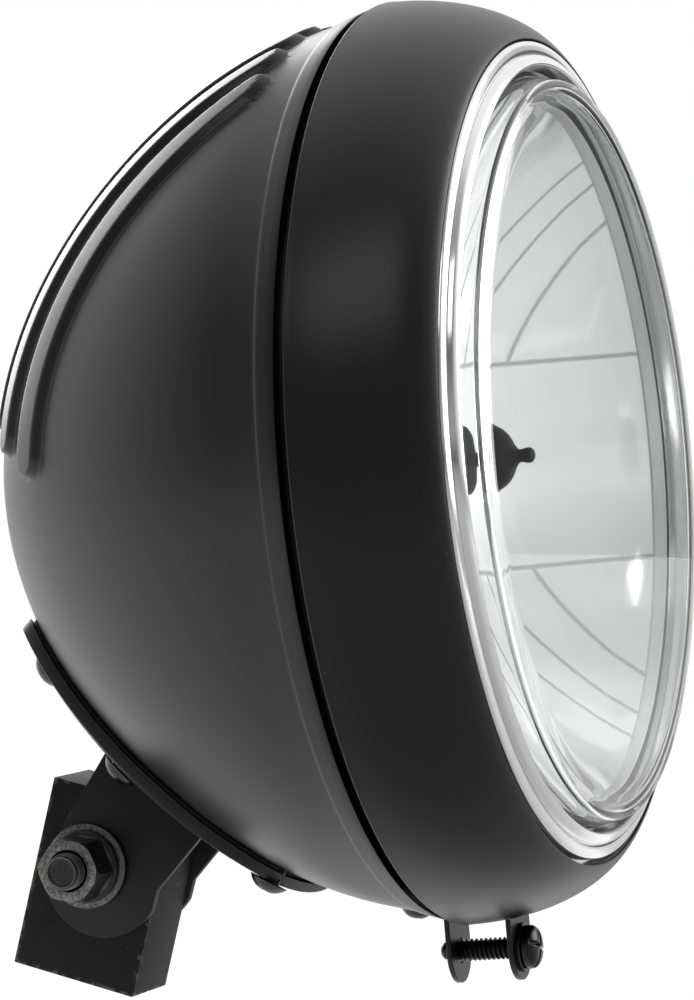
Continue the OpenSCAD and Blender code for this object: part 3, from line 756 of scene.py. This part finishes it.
def makeLens():
    r, front, bulge, thick = lens["radius"], lens["front"], lens["bulge"], lens["thick"]
    dome = (r * r + bulge * bulge) / (2 * bulge)

    def faceAt(x):
        return x * x / (2 * dome) - front - bulge

    edge = lens["edge"]
    outer = [(x, faceAt(x)) for x in spread(0, r - edge, 24)]
    corner = [
        (r - edge + edge * math.sin(a), -front + edge - edge * math.cos(a)) for a in spread(0.2, math.pi / 2, 8)]
    rear = [(lens["foot"], 0.6), (lens["flange"], 0.6), (lens["flange"], 1.8), (lens["foot"] - thick, 1.8)]
    hollow = [
        (r - thick, thick - front + 1.0), (r - thick - 0.3, thick - front + 0.35),
        (r - thick - 1.0, thick - front + 0.05)]
    inner = [(x, faceAt(x) + thick) for x in spread(r - thick - 2.2, 0, 24)]
    piece = turned("lensGlass", outer + corner + rear + hollow + inner, lens["steps"])
    smooth(piece, 35)
    place(piece, "lamp", clearGlass, "lens", slot="clear_glass")


dish = {
    "mouth": 77.0, "pole": 71.9, "hole": 19.0, "wall": 1.0, "plate": 4.5, "plateEdge": 88.0, "creaseRun": 1.1,
    "lip": [(75.9, 4.45), (75.75, 4.3), (75.75, 1.7), (75.85, 1.6), (75.95, 1.7), (75.95, 4.3)],
    "collar": (24.0, 25.0), "collarSpan": (65, 71.8), "steps": 240, "rings": 64,
}    # the lip hides the seal
dish["focal4"] = dish["mouth"] ** 2 / (dish["pole"] - dish["plate"])
creases = [(0, 1, facets["up"], 0.8), (0, -1, facets["down"], 0.8)]
creases += [(side, 0, at, step) for side in (1, -1) for at, step in facets["sides"].items()]


def dishDepth(x):
    return dish["pole"] - x * x / dish["focal4"]


def facetLift(x, z):    # each free-form field leans its own way, so that creases show between them
    r = math.hypot(x, z)
    a = math.degrees(math.atan2(z, x))
    lean = 0.0
    for across, along, away, height in creases:
        lean += height * soft((along * z + across * x - away) / dish["creaseRun"] + 0.5)
    return lean + 0.45 * (1 + math.cos(math.radians(3 * a))) * (r / 77) ** 2


def makeDish():
    mouth, hole, wall, plate = dish["mouth"], dish["hole"], dish["wall"], dish["plate"]
    inner = [(x, dishDepth(x)) for x in spread(hole, mouth, dish["rings"])]
    outer = [(x + wall, dishDepth(x) + wall) for x in spread(mouth, hole, 18)]
    edge = [(dish["plateEdge"], plate - 0.2), (dish["plateEdge"], plate + 1.2)]
    piece = turned("reflectorDish", inner + dish["lip"] + edge + outer, dish["steps"])
    fields = piece.vertex_groups.new(name="fields")
    for vertex in piece.data.vertices:
        spot = (vertex.co - lampAxis) / mm
        r = math.hypot(spot.x, spot.z)
        if hole + 1 < r < mouth - 0.5 and abs(spot.y - dishDepth(r)) < 0.05:
            fade = soft((mouth - r) / 4) * soft((r - hole) / 4)
            fields.add([vertex.index], min(1.0, max(0.0, facetLift(spot.x, spot.z) / 5.0)) * fade, "REPLACE")
    modify(piece, "DISPLACE", strength=2.4 * mm, mid_level=0.0, direction="Y", vertex_group="fields")
    smooth(piece, 30)
    (near, far), (top, low) = dish["collar"], dish["collarSpan"]
    collar = turned("reflectorCollar", [(near, top), (far, top), (far, low), (near, low)], 64)
    place(piece, "lamp", mirror, "reflector", slot="bright_metal")
    place(collar, "lamp", brightMetal, "reflector", slot="bright_metal")


makeRing()
makeLens()
makeDish()

print("bulb")

bulb = {
    "capRadius": 7.4, "capFront": 13.4, "capEnd": 26.0, "capDome": 6.2, "nibRadius": 1.7, "nibFront": 9.2,
    "glassRadius": 7.0, "glassEnd": 60.0,
}


def makeBulb():
    r, y0, y1 = bulb["capRadius"], bulb["capFront"], bulb["capEnd"]
    nib, n0 = bulb["nibRadius"], bulb["nibFront"]
    rise = bulb["capDome"]
    nose = [
        (0, n0), (nib * 0.6, n0 + 0.15), (nib * 0.95, n0 + 0.7), (nib, n0 + 1.5), (nib * 0.82, n0 + 2.8),
        (nib * 0.9, n0 + 3.6), (nib + 0.9, y0 + 0.2)]
    dome = [(r * math.sin(a), y0 + rise - rise * math.cos(a)) for a in spread(0.42, math.pi / 2, 12)]
    skirt = [(r, y1 - 1), (r - 0.1, y1), (r - 0.35, y1), (r - 0.35, y0 + rise), (0, y0 + 1.2)]
    cap = turned("bulbCap", nose + dome + skirt, 56)
    smooth(cap, 40)
    place(cap, "lamp", capPaint, "bulb_cap", slot="black_paint")
    g, end = bulb["glassRadius"], bulb["glassEnd"]
    top = [(g * math.sin(a), y0 + 7.2 - 5.6 * math.cos(a)) for a in spread(0.15, math.pi / 2, 10)]
    wall = [
        (g, end - 6), (g - 0.6, end), (g - 1.5, end), (g - 0.9, end - 6), (g - 0.9, y0 + 8), (g * 0.6, y0 + 3.4)]
    tube = turned("bulbTube", [(0, y0 + 1.6)] + top + wall + [(0, y0 + 2.6)], 48)
    smooth(tube, 40)
    place(tube, "lamp", bulbGlass, "bulb_glass", slot="clear_glass")


makeBulb()

print("saddle")

saddle = {
    "place": 0.444, "half": 40, "length": 89, "sideRadius": 110, "cornerRadius": 53, "foreEnd": 38.5,
    "foreRadius": 60, "endRound": 3, "shift": 3, "power": 12, "powerDrop": 7, "powerRun": 15, "rows": 84,
    "under": 1.2, "over": 3.6, "padUnder": 0.2, "padOver": 1.0, "padInset": 1, "low": -75, "high": -10,
    "band": (0.03, 0.92, 54), "slit": (1.4, 6, -3.7), "slitDepth": 60, "slitTop": -40,
    "ear": 10.1, "earThick": 2, "earEnd": (0.5, 4), "earRadius": 13.6, "earFront": 15.5, "earBack": 14.3,
    "earBend": 6.7, "earSunk": 4, "earArcEnd": 81.4,
}


def seatFrame():    # mm from the lamp's axis, +Z leaves the bowl at the pivot, Y runs forward down the bowl
    run = bowlRun(saddle["place"])
    spot = (pivot - lampAxis) / mm
    return Matrix.Translation(spot) @ Matrix.Rotation(math.pi + math.atan2(-run.x, run.y), 4, "X")


def bowlBand(name, low, high):
    start, end, rows = saddle["band"]
    outer = [bowlOff(t, high) for t in spread(start, end, rows)]
    inner = [bowlOff(t, low) for t in spread(end, start, rows)]
    return turned(name, outer + inner, 300)


def saddlePrism(name, inset):
    s, base = saddle, seatFrame()
    end, fore, rows = s["length"] / 2 - inset, s["foreEnd"] - inset, []
    for a in spread(-math.pi / 2, math.pi / 2, s["rows"]):
        y = (fore if a > 0 else end) * math.sin(a)
        side = s["half"] - inset - s["sideRadius"] + math.sqrt(s["sideRadius"] ** 2 - y * y)
        r = (s["foreRadius"] if y > 0 else s["cornerRadius"]) - inset
        corner = math.sqrt(max(0.0001, r * r - (y - fore + r if y > 0 else y) ** 2))
        past = max(0.0, -y - end + s["endRound"]) / s["endRound"]
        power = s["power"] - s["powerDrop"] * soft(y / s["powerRun"])    # the front corners are rounder
        width = (side ** -power + corner ** -power) ** (-1 / power)
        rows.append((width - s["endRound"] * (1 - math.sqrt(1 - min(1.0, past) ** 2)), y + s["shift"]))
    near = [base @ Vector((x, y, s["low"])) for x, y in rows]
    far = [base @ Vector((-x, y, s["low"])) for x, y in rows[::-1]]
    return pressed(name, near + far, base.to_3x3() @ Vector((0, 0, s["high"] - s["low"])))


def makeSaddle():
    s, base = saddle, seatFrame()
    plate = bowlBand("saddlePlate", s["under"], s["over"])
    cutBy(plate, saddlePrism("saddleBlank", 0), "INTERSECT")
    width, length, y = s["slit"]
    world = Matrix.Translation(lampAxis) @ Matrix.Scale(mm, 4) @ base
    for side in (-1, 1):
        slit = add(bpy.ops.mesh.primitive_cube_add, "slit", size=mm)
        spot = Matrix.Translation((side * s["half"], y, s["slitTop"]))
        slit.matrix_world = world @ spot @ Matrix.Diagonal((length, width, s["slitDepth"], 1))
        settle(slit)
        cutBy(plate, slit)
    bevelled(plate, 0.3, 3, 50)

    seat = bowlPoint(s["place"])
    spot = (pivot - lampAxis) / mm
    root = math.hypot(-spot.z - seat.x, spot.y - seat.y) + s["earSunk"]
    start, end, r = Vector((root, -s["earBack"])), Vector(s["earEnd"]), s["earRadius"]
    gap = end - start
    lean = math.atan2(gap.y, gap.x) + math.asin(r / gap.length)
    touch = start + Vector((math.cos(lean), math.sin(lean))) * math.sqrt(gap.length ** 2 - r * r)
    first, last = math.atan2(touch.y - end.y, touch.x - end.x), math.radians(s["earArcEnd"]) - 2 * math.pi
    arc = [end + r * Vector((math.cos(a), math.sin(a))) for a in spread(first, last, 60)]
    profile = [start] + arc + [Vector((s["earBend"], s["earFront"])), Vector((root, s["earFront"]))]
    ears = []
    for x in (s["ear"], -s["ear"] - s["earThick"]):
        ear = pressed("ear", [base @ Vector((x, p.y, -p.x)) for p in profile], Vector((s["earThick"], 0, 0)))
        core = [bowlOff(t, (s["under"] + s["over"]) / 2) for t in spread(*s["band"])]
        cutBy(ear, turned("core", core + [(0, core[-1][1]), (0, core[0][1])], 240))
        bevelled(ear, 0.22, 2, 50)
        ears.append(ear)
    piece = joined(plate, *ears)
    smooth(piece, 35)
    place(piece, "lamp", blackPlate, "saddle_bracket", slot="black_steel")

    pad = bowlBand("saddlePadSheet", s["padUnder"], s["padOver"])
    cutBy(pad, saddlePrism("padBlank", s["padInset"]), "INTERSECT")
    smooth(pad, 35)
    place(pad, "lamp", rubber, "saddle_pad", slot="black_rubber")


makeSaddle()

saddleScrew = {
    "rows": ((0.655, 25), (0.445, 24), (0.217, 14)),    # place down the bowl, degrees to each side
    "seat": 3.8, "headRadius": 4.4, "headHeight": 2.4, "radius": 2.5, "foot": 6.6,
}
bodyScrew = {"place": 0.069, "seat": 0.2, "headRadius": 3.9, "headHeight": 2.9, "radius": 2.5, "foot": 6.6}
socketHole = {"radius": 1.75, "depth": 2.6}


def seatOn(t, degrees):    # turns +Z into the bowl's outward normal at one place
    p, out = bowlPoint(t), bowlOut(t)
    tilt = Matrix.Rotation(math.pi + math.atan2(out.y, out.x), 4, "X")
    move = Matrix.Translation(Vector((0, p.y, -p.x)) * mm)
    return Matrix.Translation(lampAxis) @ Matrix.Rotation(math.radians(degrees), 4, "Y") @ move @ tilt


def domedScrew(name, size):
    r, h, seat, radius, foot = size["headRadius"], size["headHeight"], size["seat"], size["radius"], size["foot"]
    ball = (r * r + h * h) / (2 * h)
    dome = [(x, seat + h - ball + math.sqrt(ball * ball - x * x)) for x in spread(0, r - 0.1, 10)]
    shank = [(0, -foot), (radius - 0.4, -foot), (radius, -foot + 0.5), (radius, seat)]
    profile = shank + [(r - 0.15, seat), (r, seat + 0.15)] + dome[::-1]
    piece = turned(name, profile, 40, Vector((0, 0, 0)), (0, 0, 1))
    socket = add(
        bpy.ops.mesh.primitive_cylinder_add, "socket", vertices=6, radius=socketHole["radius"] * mm,
        depth=socketHole["depth"] * mm, location=(0, 0, (seat + h) * mm))
    settle(socket)
    cutBy(piece, socket)
    bevelled(piece, 0.1)
    smooth(piece, 40)
    return piece


def makeSaddleScrews():
    first = domedScrew("saddleScrew", saddleScrew)
    made = []
    for t, degrees in saddleScrew["rows"]:
        for side in (-1, 1):
            take(first)
            bpy.ops.object.duplicate()
            made.append(bpy.context.object)
            made[-1].matrix_world = seatOn(t, side * degrees)
            settle(made[-1])
    bpy.data.objects.remove(first)
    for number, piece in enumerate(made):
        piece.name = "saddleScrew%d" % (number + 1)
        place(piece, "lamp", blackScrew, "saddle_screws", slot="black_steel")
    lone = domedScrew("bodyScrew", bodyScrew)
    lone.matrix_world = seatOn(bodyScrew["place"], 0)
    settle(lone)
    place(lone, "lamp", blackScrew, "body_screw", slot="black_steel")


makeSaddleScrews()

print("mount")

block = fromNode("mounting_block", "mountBlock", 0.45)
place(block, "mount", blackBlock, "mounting_block", slot="black_steel")
for name in ("small_washers", "large_washers"):
    washer = fromNode(name, name.split("_")[0] + "Washers", 0.22)
    place(washer, "mount", wornSteel, name, slot="zinc_steel")

nut = {
    "flats": 13, "start": 15.4, "height": 8.6, "turn": -10, "hole": 4.05, "headHeight": 5.3, "headTurn": 9,
    "boltRadius": 4.0, "tip": 27.6, "bare": 13, "pitch": 1.25, "depth": 0.66,
}    # bare: where the bolt's thread ends


def hexBlank(name, side, start, height, turn):
    r = nut["flats"] / 2 / math.cos(math.pi / 6)
    middle = pivot + Vector((side * (start + height / 2), 0, 0)) * mm
    piece = add(
        bpy.ops.mesh.primitive_cylinder_add, name, vertices=6, radius=r * mm, depth=height * mm, location=middle,
        rotation=(0, side * math.pi / 2, 0))
    edit(piece)
    bpy.ops.transform.rotate(value=math.radians(turn), orient_axis="X", center_override=middle)
    bpy.ops.object.mode_set(mode="OBJECT")
    settle(piece)
    low, high = start, start + height
    crown = [
        (0, low - 1), (r + 1, low - 1), (r + 1, low), (r * 0.93, low), (r + 0.05, low + 0.75),
        (r + 0.05, high - 1.1), (r * 0.895, high), (0, high)]
    cutBy(piece, turned(name + "Barrel", crown, 60, pivot, (side, 0, 0)), "INTERSECT")
    return piece


def makePivot():
    n = nut
    piece = hexBlank("pivotNut", -1, n["start"], n["height"], n["turn"])
    r, low, high = n["hole"], n["start"], n["start"] + n["height"]
    bore = [
        (0, low - 1), (r + 1.0, low - 1), (r, low + 0.6), (r, high - 0.6), (r + 1.0, high + 0.4),
        (0, high + 0.4)]
    cutBy(piece, turned("nutDrill", bore, 48, pivot, (-1, 0, 0)))
    bevelled(piece, 0.16, 2, 28)
    smooth(piece, 30)
    place(piece, "mount", wornSteel, "pivot_nut", slot="zinc_steel")

    core, tip, full = n["boltRadius"] - n["depth"], n["tip"], n["boltRadius"]
    point = [
        (0, -tip + 0.5), (core - 0.75, -tip + 0.5), (core - 0.35, -tip + 0.12), (core - 0.05, -tip),
        (core + 0.4, -tip + 0.4), (core + 0.4, -tip + 1.5), (core + 0.1, -tip + 1.9)]
    bar = [(core + 0.1, -n["bare"]), (full, -n["bare"] + 0.8), (full, low + 0.3), (0, low + 0.3)]
    shank = turned("pivotBoltShank", point + bar, 48, pivot, (1, 0, 0))
    coil = threadCoil(
        "pivotBoltThread", pivot + Vector((-tip + 0.35, 0, 0)) * mm, (1, 0, 0), full, n["depth"], n["pitch"],
        tip - n["bare"] - 0.2, 36)
    head = hexBlank("pivotBoltHead", 1, low, n["headHeight"], n["headTurn"])
    bevelled(head, 0.16, 2, 28)
    smooth(head, 30)
    piece = joined(head, shank, coil)
    piece.name = "pivotBolt"
    smooth(piece, 34)
    place(piece, "mount", wornSteel, "pivot_bolt", slot="zinc_steel")


makePivot()

kept = {
    "lens_seal": rubber, "unit_clips": zincSteel, "bulb_base": brightMetal, "bulb_terminals": brass,
    "bulb_spring": zincSteel, "bulb_boot": rubber, "cable_grommet": rubber, "body_nut": zincSteel,
    "saddle_nuts": zincSteel, "rim_screw_washer": blackScrew,
}    # nodes that stay as they are, with their finishes
for name, finish in kept.items():
    node[name].data.materials.clear()
    node[name].data.materials.append(finish)

print("studio")

studio = {
    "azimuth": -70.8, "roll": -4.87, "distance": 0.962, "lens": 162, "right": -0.0478, "up": -0.0104,
    "floorColour": 0.8, "floorDrop": 40, "floorSize": 9, "floorGlow": 1.17, "worldLevel": 0.5, "shinyLevel": 1.0,
    "darkShare": 0.95, "clearShare": 0.05, "clearLevel": 1.25, "liftShare": 0.20, "fieldShare": 0.10,
    "panelWay": (0.944, -0.329, 0), "panelShare": 0.93,
}    # panelWay: where the flat glass mirrors the room to the camera
lights = {
    "keyLight": (3, (1.2, 0.5), (-1.0, -0.35, 1.05), (0, 0, 0.1)),
    "backLight": (8, (0.8, 0.8), (1.2, 0.9, 0.65), (0, 0, 0.1)),
    "frontLight": (8, (0.9, 0.9), (0.9, -1.2, 0.5), (0, -0.1, 0.1)),
}    # watts, metres wide and high, place, aim


def makeCamera():
    s = studio
    a, c = math.radians(s["azimuth"]), math.radians(s["roll"])
    back = Vector((math.sin(a), -math.cos(a), 0))
    right = (-back).cross(Vector((0, 0, 1))).normalized()
    up = right.cross(-back)
    right, up = right * math.cos(c) + up * math.sin(c), up * math.cos(c) - right * math.sin(c)
    data = bpy.data.cameras.new("camera")
    data.lens = s["lens"]
    data.clip_start = 0.01
    camera = bpy.data.objects.new("camera", data)
    bpy.context.scene.collection.objects.link(camera)
    spot = lampAxis + back * s["distance"] + right * s["right"] + up * s["up"]
    turn = Matrix((right, up, back)).transposed().to_4x4()
    camera.matrix_world = Matrix.Translation(spot) @ turn
    bpy.context.scene.camera = camera


def rayKinds(start):
    return [start.node("LightPath", out="Is %s Ray" % kind) for kind in ("Camera", "Transmission", "Glossy")]


def panelMask(way):    # a grey panel that the flat glass mirrors
    return way.dot(studio["panelWay"]).ramp((0.965, 0.0), (0.985, 1.0)) * studio["panelShare"]


def makeFloor():
    low = cadBox[0][2] - studio["floorDrop"] * mm    # below the lamp at its lower limit
    floor = add(bpy.ops.mesh.primitive_plane_add, "floor", size=studio["floorSize"], location=(0, 0, low))
    made = bpy.data.materials.new("floorPaper")
    made.use_nodes = True
    tree = made.node_tree
    shader = tree.nodes["Principled BSDF"]
    shader.inputs["Base Color"].default_value = grey(studio["floorColour"])
    shader.inputs["Roughness"].default_value = 0.9
    start = Wire(tree)
    seen, clear, shiny = rayKinds(start)
    spot = start.node("TexCoord", out="Object")
    reach = spot.dot((1, 2, 0)) + 0.7
    card = reach.ramp((0.38, 0.0), (0.46, 0.14), (0.52, 0.72), (0.62, 1.0))    # bright behind the lamp only
    bare = 1 - panelMask(spot.node("VectorMath", {"operation": "NORMALIZE"}, {0: spot}))
    glow = start.node("Emission", {}, {"Color": grey(1), "Strength": studio["floorGlow"]})
    share = seen * 0.8 + (clear * 0.9 + shiny * card) * bare
    both = start.node("MixShader", {}, {0: share, 1: Wire(tree, shader.outputs[0]), 2: glow})
    tree.links.new(both.socket, tree.nodes["Material Output"].inputs["Surface"])
    floor.data.materials.append(made)


def makeWorld():
    world = bpy.data.worlds.new("studio")
    bpy.context.scene.world = world
    world.use_nodes = True
    tree = world.node_tree
    start = Wire(tree)
    way = start.node("TexCoord", out="Generated")
    facing = way.dot((-0.49, -0.1, 0)) + 0.5
    rise = way.dot((0, 0, 0.5)) + 0.5
    strip = rise.ramp((0.5, 0.0), (0.55, 0.30), (0.64, 0.22), (0.75, 0.0))    # a paler band just above the horizon
    dark = facing.ramp((0.36, 0.0), (0.5, 0.2), (0.58, 0.55), (0.75, 0.82), (0.92, 1.0)) * (1 - strip)
    seen, clear, shiny = rayKinds(start)
    plain = shiny * (studio["shinyLevel"] - studio["worldLevel"]) + studio["worldLevel"]
    bare = 1 - panelMask(way)
    room = (1 - dark * studio["darkShare"]) * bare * plain
    fields = way.noise(2.2, 1.0).ramp((0.42, 0.0), (0.58, 1.0)) * studio["fieldShare"]
    lift = rise.ramp((0.6, 0.0), (0.8, 1.0)) * studio["liftShare"]
    through = (1 - dark * studio["clearShare"] - lift - fields) * bare * studio["clearLevel"]
    level = seen + (1 - seen) * (clear * through + (1 - clear) * room)
    tree.links.new(level.socket, tree.nodes["Background"].inputs["Strength"])
    tree.nodes["Background"].inputs["Color"].default_value = grey(1)


def softLight(name, power, size, spot, aim):
    data = bpy.data.lights.new(name, "AREA")
    data.shape = "RECTANGLE"
    data.size, data.size_y = size
    data.energy = power
    light = bpy.data.objects.new(name, data)
    bpy.context.scene.collection.objects.link(light)
    light.location = spot
    light.rotation_euler = (Vector(spot) - Vector(aim)).to_track_quat("Z", "Y").to_euler()


makeCamera()
makeFloor()
makeWorld()
for name, settings in lights.items():
    softLight(name, *settings)

bpy.context.scene.view_settings.view_transform = "Standard"
